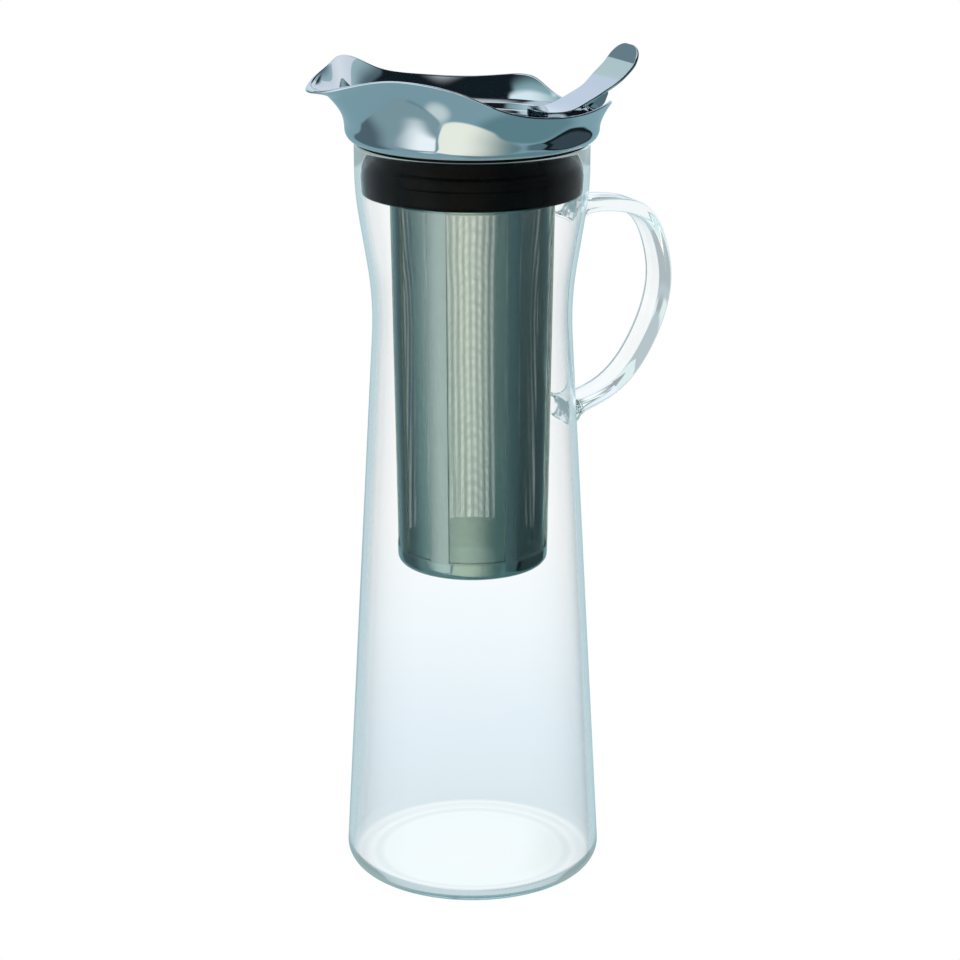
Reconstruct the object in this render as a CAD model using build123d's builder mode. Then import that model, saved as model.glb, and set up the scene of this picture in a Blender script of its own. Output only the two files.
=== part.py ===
from build123d import *
from math import cos, exp, radians, sin, sqrt
import os

# A slim glass jug for cold brew coffee. +Z is up and the jug stands on z = 0, about its own axis.
# The handle is towards +X and the pouring beak towards -X. All sizes are in millimetres.

# Glass body: straight runs between the corners of its outside, which are rounded off
glass_wall = 1.8
floor_thickness = 3.0
base_corner_radius = 47.0
base_rounding = 6.8
waist_inset, waist_corner_height = 6.3, 213.9
waist_rounding = 120.0
neck_radius, neck_corner_height = 41.2, 253.1
neck_rounding = 110.0
lip_height = 270.2
lip_rounding = 0.8

# Glass handle: a flat strap whose middle line goes out from the neck and back to the body.
# The bends are given inwards from the reach and down from the top, then up from the foot.
strap_width = 13.0
strap_thickness = 5.2
strap_edge_radius = 1.9
handle_reach = 78.2
handle_reach_height = 214.0
handle_top = 246.6
handle_foot = 168.7
handle_root_gap = 0.02
upper_bends = [(19.6, 0.4), (8.6, 4.7), (2.2, 15.8)]
lower_bends = [(6.2, 24.3), (19.4, 8.2)]

# Gasket: silicone plug ring in the neck
lid_gap = 0.1
fin_gap = 0.2
gasket_flange = 1.0
gasket_flange_inset = 0.6
groove_inset = 5.5
groove_depth = 6.5
upper_fin_height = 3.6
fin_notch = 0.6
lower_fin_height = 6.6
fin_taper = 0.5
gasket_edge_radius = 1.0

# Collar: pressed sheet bowl with a wavy rim and a beak
collar_sheet = 0.9
collar_foot_inset = 0.2
collar_overhang = 3.2
collar_corner_height = 4.2
back_flare = 0.54
front_flare = 0.06
side_flare = 0.34
side_flare_angle = 88.0
side_flare_spread = 22.0
flare_ease = 3.0
beak_reach = 16.0
beak_reach_rise = 17.0
beak_curl = 2.3
beak_half_angle = 17.0
collar_top = 30.0
section_steps = 18
section_crowding = 1.5
corner_ledge = 0.02

# Rim: its height above the collar's foot at places along X, from the tip of the beak to the back,
# drawn for a collar of this radius and stretched along X with it
rim_line_radius = 44.4
rim_line = [
    (-66.0, 20.6),
    (-61.0, 21.2),
    (-55.0, 23.2),
    (-48.7, 25.2),
    (-42.0, 26.6),
    (-35.0, 26.4),
    (-27.0, 24.5),
    (-13.3, 18.4),
    (4.4, 14.8),
    (20.4, 13.9),
    (33.0, 14.9),
    (39.8, 14.3),
    (43.1, 9.3),
    (46.0, 7.6),
    (54.0, 7.4),
]
hinge_slot_gap = 0.4
hinge_slot_height = 4.3

# Pour ring: moulded ring through the collar's floor
ring_bore = 30.5
ring_wall = 2.5
ring_flange_width = 3.0
ring_flange = 1.2
ring_neck = 2.0

# Flap: pressed pan on the pour ring
flap_sheet = 0.8
flap_seat_gap = 0.2
flap_well_clearance = 0.9
flap_well_depth = 2.2
flap_brim_rise = 0.8
flap_edge_gap = 1.5
flap_bend_radius = 0.9
flap_cut_clearance = 0.7

# Hinge: the pin's axis runs along Y. The ears are round at the pin and lean out over the collar's slot.
pin_radius = 1.0
pin_running_gap = 0.05
pin_inset = 1.1
pin_height = 8.3
pin_end_gap = 0.1
pin_head_radius = 1.7
pin_head = 0.8
ear_radius = 1.7
ear_sheet = 1.0
ear_cheek_gap = 0.8
bracket_base = 0.8
bracket_ring_gap = 0.8
bracket_corner_gap = 1.3
ear_slot_gap = 0.4
ear_heel = 0.7
ear_lower_angle = 35.0
ear_upper_angle = 30.0

# Thumb lever: bent strip with two folded cheeks at its root, which widens past the pin into a blade with
# round corners. Its bends are given from the pin's axis, and the last one back and down from the tip.
lever_width = 16.0
lever_sheet = 1.0
cheek_sheet = 0.8
cheek_boss_radius = 2.0
lever_root_back = 17.8
lever_root_rise = 3.8
lever_root_run = 8.5
lever_bends = [(-1.8, 2.3), (4.9, 5.6), (10.7, 9.8)]
lever_tip_bend = (2.5, 5.2)
lever_tip_radius = 7.5
lever_tip_out = 18.3
lever_blade_width = 20.0
lever_blade_start = 3.0
lever_blade_full = 11.0
lever_tip_height = 28.3
lever_tip_lean = 14.0
cheek_end_out = 5.7
cheek_end_rise = 2.3
cheek_end_height = 4.1
cheek_root_gap = 0.2

# Filter: rim, window frame, mesh, seam and cup
filter_ring_gap = 0.2
rim_wall = 1.2
rim_flange_width = 3.3
rim_flange = 1.5
filter_taper = 2.05
rim_gap = 0.3
rim_engagement = 9.5
frame_sheet = 0.5
frame_in_rim = 6.0
mesh_sheet = 0.3
mesh_in_cup = 3.0
filter_foot_height = 117.2
cup_height = 6.3
cup_corner_radius = 3.0
window_foot_margin = 0.5
window_top_margin = 1.0
window_angles = [
    (5, 31.5),
    (46, 89.5),
    (98.5, 142),
    (151, 172),
    (185, 211.5),
    (226, 269.5),
    (278.5, 322),
    (331, 352),
]
seam_angle = 172.5
seam_arc = 12.0
seam_sheet = 0.4

# Radii and places along X that follow from the sizes above
waist_corner_radius = neck_radius - waist_inset
gasket_flange_radius = neck_radius - gasket_flange_inset
groove_radius = neck_radius - groove_inset
fin_radius = neck_radius - glass_wall - fin_gap
collar_foot_radius = neck_radius - collar_foot_inset
collar_radius = neck_radius + collar_overhang
ring_radius = ring_bore + ring_wall
ring_flange_radius = ring_radius + ring_flange_width
filter_top_radius = ring_bore - filter_ring_gap - rim_wall
filter_foot_radius = filter_top_radius - filter_taper
rim_flange_radius = filter_top_radius + rim_flange_width
flap_radius = collar_radius - flap_edge_gap
flap_well_radius = ring_flange_radius + flap_well_clearance
pin_x = collar_radius - pin_inset
bracket_inner_x = ring_flange_radius + bracket_ring_gap
bracket_outer_x = collar_foot_radius - bracket_corner_gap
lever_root_x = pin_x - lever_root_back
lever_tip_x = pin_x + lever_tip_out
cheek_end_x = pin_x + cheek_end_out

# Heights and half widths that follow
collar_foot_height = lip_height + lid_gap + gasket_flange
collar_floor_height = collar_foot_height + collar_sheet
collar_corner_top = collar_foot_height + collar_corner_height
ring_top = collar_floor_height + ring_neck
flap_floor_height = ring_top + flap_seat_gap + flap_sheet
flap_middle_height = flap_floor_height - flap_sheet / 2
pin_z = collar_foot_height + pin_height
groove_foot = lip_height + lid_gap - groove_depth
gasket_foot = groove_foot - upper_fin_height - fin_notch - lower_fin_height
rim_top = gasket_foot - rim_gap
rim_foot = rim_top - rim_flange
cup_top = filter_foot_height + cup_height
cheek_outer_y = lever_width / 2
cheek_inner_y = cheek_outer_y - cheek_sheet
ear_outer_y = cheek_inner_y - ear_cheek_gap
flap_cut_half = cheek_outer_y + flap_cut_clearance
flap_cut_x = sqrt((flap_well_radius - flap_bend_radius) ** 2 - flap_cut_half**2)
pin_half = cheek_outer_y + pin_end_gap
slot_half_width = pin_half + pin_head + hinge_slot_gap
slot_foot = collar_foot_height + hinge_slot_height


def jug_half(inset, foot):
    """Half section of the jug, filled to the axis, with its side moved in by inset."""
    taper = (base_corner_radius - waist_corner_radius) / waist_corner_height
    foot_corner = (base_corner_radius - taper * foot - inset, foot)
    lip_edge = (neck_radius - inset, lip_height)
    with BuildSketch(Plane.XZ) as half:
        with BuildLine():
            FilletPolyline(
                (0, foot),
                foot_corner,
                (waist_corner_radius - inset, waist_corner_height),
                (neck_radius - inset, neck_corner_height),
                lip_edge,
                radius=[base_rounding - inset, waist_rounding, neck_rounding],
            )
            Polyline(lip_edge, (0, lip_height), (0, foot))
        make_face()
    return half.sketch


def sheet_half(*points):
    """Half section of a turned piece, drawn as a closed line of (radius, height) points."""
    with BuildSketch(Plane.XZ) as half:
        with BuildLine():
            Polyline(*points, close=True)
        make_face()
    return half.sketch


def collar_outside(angle, rise):
    """Outside radius of the collar at an angle from the beak, and at a rise above its rounded corner."""
    front = ((1 + cos(radians(angle))) / 2) ** 2
    side = exp(-(((abs(angle) - side_flare_angle) / side_flare_spread) ** 2))
    flare = back_flare - (back_flare - front_flare) * front + side_flare * side
    wall = collar_radius + flare * (sqrt(rise**2 + flare_ease**2) - flare_ease)
    beak = beak_reach * (rise / beak_reach_rise) ** beak_curl
    return wall + beak * exp(-((angle / beak_half_angle) ** 2))


def collar_section(rise, inset):
    """Closed outline of the collar at one rise, moved in by inset, with points crowded at the beak."""
    points = []
    for step in range(-section_steps, section_steps):
        side = 1 if step > 0 else -1
        angle = 180 * side * (abs(step) / section_steps) ** section_crowding
        radius = collar_outside(angle, rise) - inset
        points.append((-radius * cos(radians(angle)), radius * sin(radians(angle))))
    with BuildSketch(Plane.XY.offset(collar_corner_top + rise)) as section:
        with BuildLine():
            Spline(*points, periodic=True)
        make_face()
    return section.sketch


def sleeve_radius(height):
    """Outside radius of the filter's tapered sleeve at a height."""
    share = (height - cup_top) / (rim_foot - cup_top)
    return filter_foot_radius + (filter_top_radius - filter_foot_radius) * share


# Glass body
with BuildPart() as glass_body:
    add(jug_half(0, 0))
    revolve(axis=Axis.Z)
    add(jug_half(glass_wall, floor_thickness))
    revolve(axis=Axis.Z, mode=Mode.SUBTRACT)
    fillet(glass_body.edges().group_by(Axis.Z)[-1], lip_rounding)

# Glass handle, cut where it meets the body's outside
strap_out = handle_reach - strap_thickness / 2
strap_top = handle_top - strap_thickness / 2
with BuildPart() as glass_handle:
    with BuildSketch(Plane.XZ.offset(-strap_width / 2)):
        with BuildLine() as strap_line:
            Spline(
                (waist_corner_radius, strap_top),
                *((strap_out - inwards, strap_top - down) for inwards, down in upper_bends),
                (strap_out, handle_reach_height),
                *((strap_out - inwards, handle_foot + up) for inwards, up in lower_bends),
                (waist_corner_radius, handle_foot),
                tangents=[(1, 0), (-1, -0.25)],
            )
        trace(strap_line.line, line_width=strap_thickness)
    extrude(amount=strap_width)
    long_edges = glass_handle.edges().filter_by(lambda edge: edge.length > 2 * strap_width)
    fillet(long_edges, strap_edge_radius)
    add(jug_half(-handle_root_gap, 0))
    revolve(axis=Axis.Z, mode=Mode.SUBTRACT)

# Spout collar: the wall is cut to the rim's line and hollowed, then gets its rounded corner and floor
section_rises = [0, 5, 10, 15, 20, collar_top - collar_corner_height]
rim_stretch = collar_radius / rim_line_radius
rim_points = [(x * rim_stretch, collar_foot_height + rise) for x, rise in rim_line]
above_rim = collar_corner_top + collar_top
beyond = 2 * collar_radius
foot_out = (collar_foot_radius, collar_foot_height)
foot_in = (collar_foot_radius - collar_sheet, collar_floor_height)
corner_out = (collar_radius - corner_ledge, collar_corner_top)
corner_in = (collar_radius - collar_sheet + corner_ledge, collar_corner_top)
with BuildPart() as spout_collar:
    for rise in section_rises:
        add(collar_section(rise, 0))
    loft()
    with BuildSketch(Plane.XZ):
        with BuildLine():
            Spline(*rim_points)
            Polyline(
                rim_points[-1],
                (beyond, rim_points[-1][1]),
                (beyond, above_rim),
                (-beyond, above_rim),
                (-beyond, rim_points[0][1]),
                rim_points[0],
            )
        make_face()
    extrude(amount=beyond, both=True, mode=Mode.SUBTRACT)
    for rise in section_rises:
        add(collar_section(rise, collar_sheet))
    loft(mode=Mode.SUBTRACT)
    with BuildSketch(Plane.XZ):
        with BuildLine():
            Line((ring_radius, collar_foot_height), foot_out)
            Spline(foot_out, corner_out, tangents=[(1, 0), (0, 1)])
            Line(corner_out, corner_in)
            Spline(corner_in, foot_in, tangents=[(0, -1), (-1, 0)])
            Line(foot_in, (ring_radius, collar_floor_height))
            Line((ring_radius, collar_floor_height), (ring_radius, collar_foot_height))
        make_face()
    revolve(axis=Axis.Z)
    with Locations((collar_radius, 0, slot_foot + collar_top / 2)):
        Box(collar_radius / 4, 2 * slot_half_width, collar_top, mode=Mode.SUBTRACT)

# Pour ring
with BuildPart() as pour_ring:
    add(
        sheet_half(
            (ring_bore, gasket_foot),
            (ring_radius, gasket_foot),
            (ring_radius, collar_floor_height),
            (ring_flange_radius, collar_floor_height),
            (ring_flange_radius, collar_floor_height + ring_flange),
            (ring_radius, collar_floor_height + ring_flange),
            (ring_radius, ring_top),
            (ring_bore, ring_top),
        )
    )
    revolve(axis=Axis.Z)

# Lid gasket
fin_foot = groove_foot - upper_fin_height
with BuildPart() as lid_gasket:
    add(
        sheet_half(
            (ring_radius, gasket_foot),
            (ring_radius, collar_foot_height),
            (gasket_flange_radius, collar_foot_height),
            (gasket_flange_radius, collar_foot_height - gasket_flange),
            (groove_radius, collar_foot_height - gasket_flange),
            (groove_radius, groove_foot),
            (fin_radius, groove_foot),
            (fin_radius - fin_taper, fin_foot),
            (fin_radius - 2 * fin_taper, fin_foot - fin_notch / 2),
            (fin_radius - fin_taper / 2, fin_foot - fin_notch),
            (fin_radius - fin_taper, gasket_foot),
        )
    )
    revolve(axis=Axis.Z)
    foot_edges = lid_gasket.edges().group_by(Axis.Z)[0].sort_by(SortBy.RADIUS)
    fillet(foot_edges[-1], gasket_edge_radius)

# Hinge bracket: a base on the collar's floor and two ears up to the pin
ear_lower = radians(ear_lower_angle)
ear_upper = radians(ear_upper_angle)
with BuildPart() as hinge_bracket:
    with BuildSketch(Plane.XZ):
        with BuildLine():
            Polyline(
                (bracket_inner_x, collar_floor_height),
                (bracket_outer_x, collar_floor_height),
                (pin_x - ear_heel, slot_foot + ear_slot_gap),
                (pin_x + ear_radius * cos(ear_lower), pin_z - ear_radius * sin(ear_lower)),
                (pin_x - ear_radius * cos(ear_upper), pin_z + ear_radius * sin(ear_upper)),
                close=True,
            )
        make_face()
        with Locations((pin_x, pin_z)):
            Circle(ear_radius)
    extrude(amount=ear_outer_y, both=True)
    with BuildSketch(Plane.XZ):
        with Locations((pin_x, collar_floor_height + bracket_base + collar_top / 2)):
            Rectangle(collar_radius, collar_top)
    extrude(amount=ear_outer_y - ear_sheet, both=True, mode=Mode.SUBTRACT)
    with Locations(Location((pin_x, 0, pin_z), (90, 0, 0))):
        Cylinder(pin_radius, lever_width, mode=Mode.SUBTRACT)

# Hinge pin with its two heads
with BuildPart() as hinge_pin:
    with Locations(Location((pin_x, 0, pin_z), (90, 0, 0))):
        Cylinder(pin_radius, 2 * pin_half)
    for side in (-1, 1):
        with Locations(Location((pin_x, side * (pin_half + pin_head / 2), pin_z), (90, 0, 0))):
            Cylinder(pin_head_radius, pin_head)

# Flap pan, cut away at the back for the lever and the bracket
with BuildPart() as flap_pan:
    with BuildSketch(Plane.XZ):
        with BuildLine() as pan_line:
            FilletPolyline(
                (0, flap_middle_height),
                (flap_well_radius, flap_middle_height),
                (flap_well_radius + flap_well_depth / 2, flap_middle_height + flap_well_depth),
                (flap_radius, flap_middle_height + flap_well_depth + flap_brim_rise),
                radius=flap_bend_radius,
            )
        trace(pan_line.line, line_width=flap_sheet)
    revolve(axis=Axis.Z)
    with Locations((flap_cut_x + flap_radius / 2, 0, flap_floor_height)):
        Box(flap_radius, 2 * flap_cut_half, 4 * flap_well_depth, mode=Mode.SUBTRACT)

# Thumb lever: the strip rises from the flap, over the pin and up to its tip
root_height = flap_floor_height + lever_root_rise
tip_height = collar_foot_height + lever_tip_height
tip_back, tip_down = lever_tip_bend
lever_points = [
    (lever_root_x, root_height),
    (lever_root_x + lever_root_run, root_height),
    *((pin_x + out, pin_z + up) for out, up in lever_bends),
    (lever_tip_x - tip_back, tip_height - tip_down),
    (lever_tip_x, tip_height),
]
tip_flat = lever_blade_width - 2 * lever_tip_radius
tip_direction = (sin(radians(lever_tip_lean)), cos(radians(lever_tip_lean)))
tip_plane = Plane(
    origin=(lever_tip_x, 0, tip_height),
    x_dir=(0, 1, 0),
    z_dir=(tip_direction[1], 0, -tip_direction[0]),
)
cheek_end_foot = pin_z + cheek_end_rise
cheek_outline = [
    (lever_root_x, flap_floor_height),
    (flap_cut_x - cheek_root_gap, flap_floor_height),
    (flap_cut_x + cheek_boss_radius / 2, pin_z - cheek_boss_radius),
    (pin_x, pin_z - cheek_boss_radius),
    (pin_x + cheek_boss_radius, pin_z - cheek_boss_radius / 2),
    (cheek_end_x, cheek_end_foot),
    (cheek_end_x, cheek_end_foot + cheek_end_height),
    *reversed(lever_points[:4]),
]
with BuildPart() as thumb_lever:
    with BuildSketch(Plane.XZ.offset(-lever_blade_width / 2)):
        with BuildLine() as lever_line:
            Spline(*lever_points, tangents=[(1, 0), tip_direction])
        trace(lever_line.line, line_width=lever_sheet)
    extrude(amount=lever_blade_width)
    for side in (-1, 1):
        with BuildSketch():
            with BuildLine():
                Polyline(
                    (0, side * lever_width / 2),
                    (pin_x + lever_blade_start, side * lever_width / 2),
                    (pin_x + lever_blade_full, side * lever_blade_width / 2),
                    (pin_x + lever_blade_full, side * lever_blade_width),
                    (0, side * lever_blade_width),
                    close=True,
                )
            make_face()
        extrude(amount=2 * tip_height, mode=Mode.SUBTRACT)
    with BuildSketch(tip_plane):
        with Locations((0, -lever_tip_radius / 2)):
            Rectangle(2 * lever_blade_width, 3 * lever_tip_radius)
        with Locations((0, -2 * lever_tip_radius)):
            Rectangle(2 * lever_blade_width, 2 * lever_tip_radius, mode=Mode.SUBTRACT)
        with Locations((0, -lever_tip_radius)):
            Rectangle(tip_flat, 2 * lever_tip_radius, mode=Mode.SUBTRACT)
            with GridLocations(tip_flat, 0, 2, 1):
                Circle(lever_tip_radius, mode=Mode.SUBTRACT)
    extrude(amount=4 * lever_sheet, both=True, mode=Mode.SUBTRACT)
    for side in (-1, 1):
        with BuildSketch(Plane.XZ.offset(side * (cheek_inner_y + cheek_sheet / 2))):
            with BuildLine():
                Polyline(*cheek_outline, close=True)
            make_face()
        extrude(amount=cheek_sheet / 2, both=True)
    with Locations(Location((pin_x, 0, pin_z), (90, 0, 0))):
        Cylinder(pin_radius + pin_running_gap, 2 * lever_width, mode=Mode.SUBTRACT)

# Filter rim: pushes up into the pour ring, with its flange just under the gasket
with BuildPart() as filter_rim:
    add(
        sheet_half(
            (filter_top_radius, rim_foot),
            (rim_flange_radius, rim_foot),
            (rim_flange_radius, rim_top),
            (ring_bore - filter_ring_gap, rim_top),
            (ring_bore - filter_ring_gap, rim_top + rim_engagement),
            (filter_top_radius, rim_top + rim_engagement),
        )
    )
    revolve(axis=Axis.Z)

# Filter frame: tapered sleeve with tall windows
window_foot = cup_top + window_foot_margin
window_top = rim_foot - window_top_margin
with BuildPart() as filter_frame:
    add(
        sheet_half(
            (filter_foot_radius - frame_sheet, cup_top),
            (filter_foot_radius, cup_top),
            (filter_top_radius, rim_foot),
            (filter_top_radius, rim_foot + frame_in_rim),
            (filter_top_radius - frame_sheet, rim_foot + frame_in_rim),
            (filter_top_radius - frame_sheet, rim_foot),
        )
    )
    revolve(axis=Axis.Z)
    reach = 1.5 * filter_top_radius
    for start, end in window_angles:
        with BuildSketch(Plane.XY.offset(window_foot)):
            with BuildLine():
                Polyline(
                    (0, 0),
                    (reach * cos(radians(start)), reach * sin(radians(start))),
                    (reach * cos(radians(end)), reach * sin(radians(end))),
                    close=True,
                )
            make_face()
        extrude(amount=window_top - window_foot, mode=Mode.SUBTRACT)

# Filter mesh: fine sleeve inside the frame, down into the cup
mesh_radius = filter_foot_radius - frame_sheet
mesh_top_radius = sleeve_radius(rim_foot) - frame_sheet
with BuildPart() as filter_mesh:
    add(
        sheet_half(
            (mesh_radius - mesh_sheet, cup_top - mesh_in_cup),
            (mesh_radius, cup_top - mesh_in_cup),
            (mesh_radius, cup_top),
            (mesh_top_radius, rim_foot),
            (mesh_top_radius - mesh_sheet, rim_foot),
            (mesh_radius - mesh_sheet, cup_top),
        )
    )
    revolve(axis=Axis.Z)

# Filter seam: strip along the inside of the mesh where its edges lap
seam_foot_radius = mesh_radius - mesh_sheet
seam_top_radius = mesh_top_radius - mesh_sheet
with BuildPart() as filter_seam:
    with BuildSketch(Plane.XZ.rotated((0, 0, seam_angle))):
        with BuildLine():
            Polyline(
                (seam_foot_radius - seam_sheet, cup_top),
                (seam_foot_radius, cup_top),
                (seam_top_radius, rim_foot),
                (seam_top_radius - seam_sheet, rim_foot),
                close=True,
            )
        make_face()
    revolve(axis=Axis.Z, revolution_arc=seam_arc)

# Filter cup: pressed bottom with a rounded edge
with BuildPart() as filter_cup:
    with BuildSketch(Plane.XZ):
        with BuildLine():
            Polyline(
                (0, filter_foot_height),
                (filter_foot_radius - cup_corner_radius, filter_foot_height),
            )
            RadiusArc(
                (filter_foot_radius - cup_corner_radius, filter_foot_height),
                (filter_foot_radius, filter_foot_height + cup_corner_radius),
                -cup_corner_radius,
            )
            Polyline(
                (filter_foot_radius, filter_foot_height + cup_corner_radius),
                (filter_foot_radius, cup_top),
                (mesh_radius, cup_top),
                (mesh_radius, filter_foot_height + cup_corner_radius),
            )
            RadiusArc(
                (mesh_radius, filter_foot_height + cup_corner_radius),
                (filter_foot_radius - cup_corner_radius, filter_foot_height + frame_sheet),
                cup_corner_radius - frame_sheet,
            )
            Polyline(
                (filter_foot_radius - cup_corner_radius, filter_foot_height + frame_sheet),
                (0, filter_foot_height + frame_sheet),
                (0, filter_foot_height),
            )
        make_face()
    revolve(axis=Axis.Z)

pieces = {
    "glass_body": glass_body,
    "glass_handle": glass_handle,
    "spout_collar": spout_collar,
    "pour_ring": pour_ring,
    "lid_gasket": lid_gasket,
    "hinge_bracket": hinge_bracket,
    "hinge_pin": hinge_pin,
    "flap_pan": flap_pan,
    "thumb_lever": thumb_lever,
    "filter_rim": filter_rim,
    "filter_frame": filter_frame,
    "filter_mesh": filter_mesh,
    "filter_seam": filter_seam,
    "filter_cup": filter_cup,
}
os.makedirs("parts", exist_ok=True)
for name, piece in pieces.items():
    piece.part.label = name
    export_step(piece.part, f"parts/{name}.step")
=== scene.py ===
from math import cos, exp, pi, radians, sin, sqrt, tan

import bmesh
import bpy
import numpy as np
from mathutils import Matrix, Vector


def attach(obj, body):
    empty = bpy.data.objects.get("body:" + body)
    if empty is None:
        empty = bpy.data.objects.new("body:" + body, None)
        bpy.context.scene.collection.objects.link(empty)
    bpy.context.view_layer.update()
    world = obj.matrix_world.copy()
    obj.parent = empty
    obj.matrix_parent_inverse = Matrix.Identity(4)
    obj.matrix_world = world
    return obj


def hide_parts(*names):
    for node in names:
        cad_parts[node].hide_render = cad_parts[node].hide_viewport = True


# A slim glass jug for cold brew coffee, with a steel pouring collar, a thumb-lever flap and a hanging
# mesh filter. The pieces are drawn in millimetres in the CAD's own frame: +Z up along the jug's axis,
# +X towards the handle and -X towards the beak.
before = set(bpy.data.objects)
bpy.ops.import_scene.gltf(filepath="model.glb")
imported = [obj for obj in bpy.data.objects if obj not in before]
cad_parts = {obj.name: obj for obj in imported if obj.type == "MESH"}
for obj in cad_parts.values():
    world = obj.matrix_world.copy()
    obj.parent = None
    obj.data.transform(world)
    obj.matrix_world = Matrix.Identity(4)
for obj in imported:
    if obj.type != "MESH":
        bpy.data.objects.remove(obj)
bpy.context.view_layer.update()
scene = bpy.context.scene
MM = 0.001

# Sizes that several pieces share
glass_wall = 1.8
lip_height = 270.2
collar_foot = 271.3
collar_sheet = 0.9
collar_corner_top = 275.5
collar_radius = 44.4
ring_radius = 33.0
pin_x, pin_z = 43.3, 279.6
rim_foot, cup_top = 251.2, 123.5


# Drawing lines and meshes
def unit(vector):
    return vector / np.linalg.norm(vector)


def rounded(corners, closed=True, steps=6):
    """A flat line through (x, z, radius) corners, each one rounded to its radius; 0 keeps it sharp."""
    line = []
    count = len(corners)
    for index, (x, z, radius) in enumerate(corners):
        here = np.array((x, z))
        at_end = not closed and index in (0, count - 1)
        if radius == 0 or at_end:
            line.append(here)
            continue
        back = unit(np.array(corners[index - 1][:2]) - here)
        ahead = unit(np.array(corners[(index + 1) % count][:2]) - here)
        half = np.arccos(np.clip(back @ ahead, -1, 1)) / 2
        centre = here + unit(back + ahead) * radius / sin(half)
        first = here + back * radius / tan(half) - centre
        last = here + ahead * radius / tan(half) - centre
        sweep = pi - 2 * half
        for step in range(steps + 1):
            share = step / steps
            turn = sin((1 - share) * sweep) * first + sin(share * sweep) * last
            line.append(centre + turn / sin(sweep))
    return line


def bar_section(half_width, half_thick, edge, flat, steps=4):
    """A flat bar's (y, outward) section with rounded edges, and points that keep its faces flat."""
    inner = half_width - edge - flat
    corners = []
    for side in (-1, 1):
        for across, radius in ((half_width, edge), (inner, 0), (-inner, 0), (-half_width, edge)):
            corners.append((side * across, side * half_thick, radius))
    return rounded(corners, steps=steps)


def smooth_line(knots, count):
    """Evenly spaced points on the natural cubic spline through the knots, spaced by chord length."""
    knots = np.array(knots, float)
    along = np.concatenate([[0], np.cumsum(np.linalg.norm(np.diff(knots, axis=0), axis=1))])
    gap = np.diff(along)
    size = len(knots)
    system = np.eye(size)
    right = np.zeros_like(knots)
    for i in range(1, size - 1):
        system[i, i - 1 : i + 2] = gap[i - 1], 2 * (gap[i - 1] + gap[i]), gap[i]
        right[i] = 6 * ((knots[i + 1] - knots[i]) / gap[i] - (knots[i] - knots[i - 1]) / gap[i - 1])
    bend = np.linalg.solve(system, right)
    places = np.linspace(0, along[-1], count)
    spans = np.clip(np.searchsorted(along, places) - 1, 0, size - 2)
    points = []
    for place, i in zip(places, spans):
        a = (along[i + 1] - place) / gap[i]
        b = 1 - a
        curve = ((a**3 - a) * bend[i] + (b**3 - b) * bend[i + 1]) * gap[i] ** 2 / 6
        points.append(a * knots[i] + b * knots[i + 1] + curve)
    return np.array(points)


def turned(outline, steps=180):
    """Points and faces of a (radius, height) outline turned about Z. It closes on itself unless it
    starts on the axis."""
    points, rings = [], []
    for radius, height in outline:
        around = steps if radius > 1e-6 else 1
        rings.append(list(range(len(points), len(points) + around)))
        for step in range(around):
            angle = 2 * pi * step / steps
            points.append((radius * cos(angle), radius * sin(angle), height))
    closed = len(rings[0]) > 1
    return points, ring_faces(rings, closed)


def ring_faces(rings, closed):
    """Faces between rings of point numbers. A ring of one point is a pole."""
    faces = []
    pairs = list(zip(rings, rings[1:]))
    if closed:
        pairs.append((rings[-1], rings[0]))
    for low, high in pairs:
        around = max(len(low), len(high))
        for step in range(around):
            after = (step + 1) % around
            corners = [low[step % len(low)], low[after % len(low)]]
            corners += [high[after % len(high)], high[step % len(high)]]
            faces.append(list(dict.fromkeys(corners)))
    return faces


def swept(middles, directions, sections):
    """Points and faces of flat sections carried along a line in the XZ plane. A section is made of
    (y, outward) points."""
    points, rings = [], []
    for middle, direction, section in zip(middles, directions, sections):
        outward = np.array((-direction[1], direction[0]))
        rings.append(list(range(len(points), len(points) + len(section))))
        for side, off in section:
            x, z = middle + outward * off
            points.append((x, side, z))
    faces = ring_faces(rings, False)
    faces.append(rings[0][::-1])
    faces.append(rings[-1])
    return points, faces


def plate(outline, low, high):
    """Points and faces of an (x, z) outline made thick from y low to y high."""
    count = len(outline)
    points = [(x, side, z) for side in (low, high) for x, z in outline]
    faces = [[i, (i + 1) % count, (i + 1) % count + count, i + count] for i in range(count)]
    faces.append(list(range(count))[::-1])
    faces.append(list(range(count, 2 * count)))
    return points, faces


def mesh_object(name, shape, sharp=35.0):
    """An object from points in millimetres and faces, shaded smooth except at its sharp edges."""
    points, faces = shape
    mesh = bpy.data.meshes.new(name)
    mesh.from_pydata([tuple(c * MM for c in point) for point in points], [], faces)
    tidy = bmesh.new()
    tidy.from_mesh(mesh)
    bmesh.ops.recalc_face_normals(tidy, faces=tidy.faces)
    tidy.to_mesh(mesh)
    tidy.free()
    mesh.shade_smooth()
    mesh.set_sharp_from_angle(angle=radians(sharp))
    item = bpy.data.objects.new(name, mesh)
    scene.collection.objects.link(item)
    return item


def apply_modifiers(item, sharp):
    """Makes the item's modifiers part of its mesh, shaded smooth except at its sharp edges."""
    scene_now = bpy.context.evaluated_depsgraph_get()
    made = bpy.data.meshes.new_from_object(item.evaluated_get(scene_now))
    item.modifiers.clear()
    item.data = made
    made.shade_smooth()
    made.set_sharp_from_angle(angle=radians(sharp))


def combine(item, tool, operation, sharp=35.0):
    """Joins the tool to the item or cuts it away, and removes the tool."""
    modifier = item.modifiers.new(operation.lower(), "BOOLEAN")
    modifier.object = tool
    modifier.operation = operation
    modifier.solver = "EXACT"
    apply_modifiers(item, sharp)
    bpy.data.objects.remove(tool)


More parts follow.
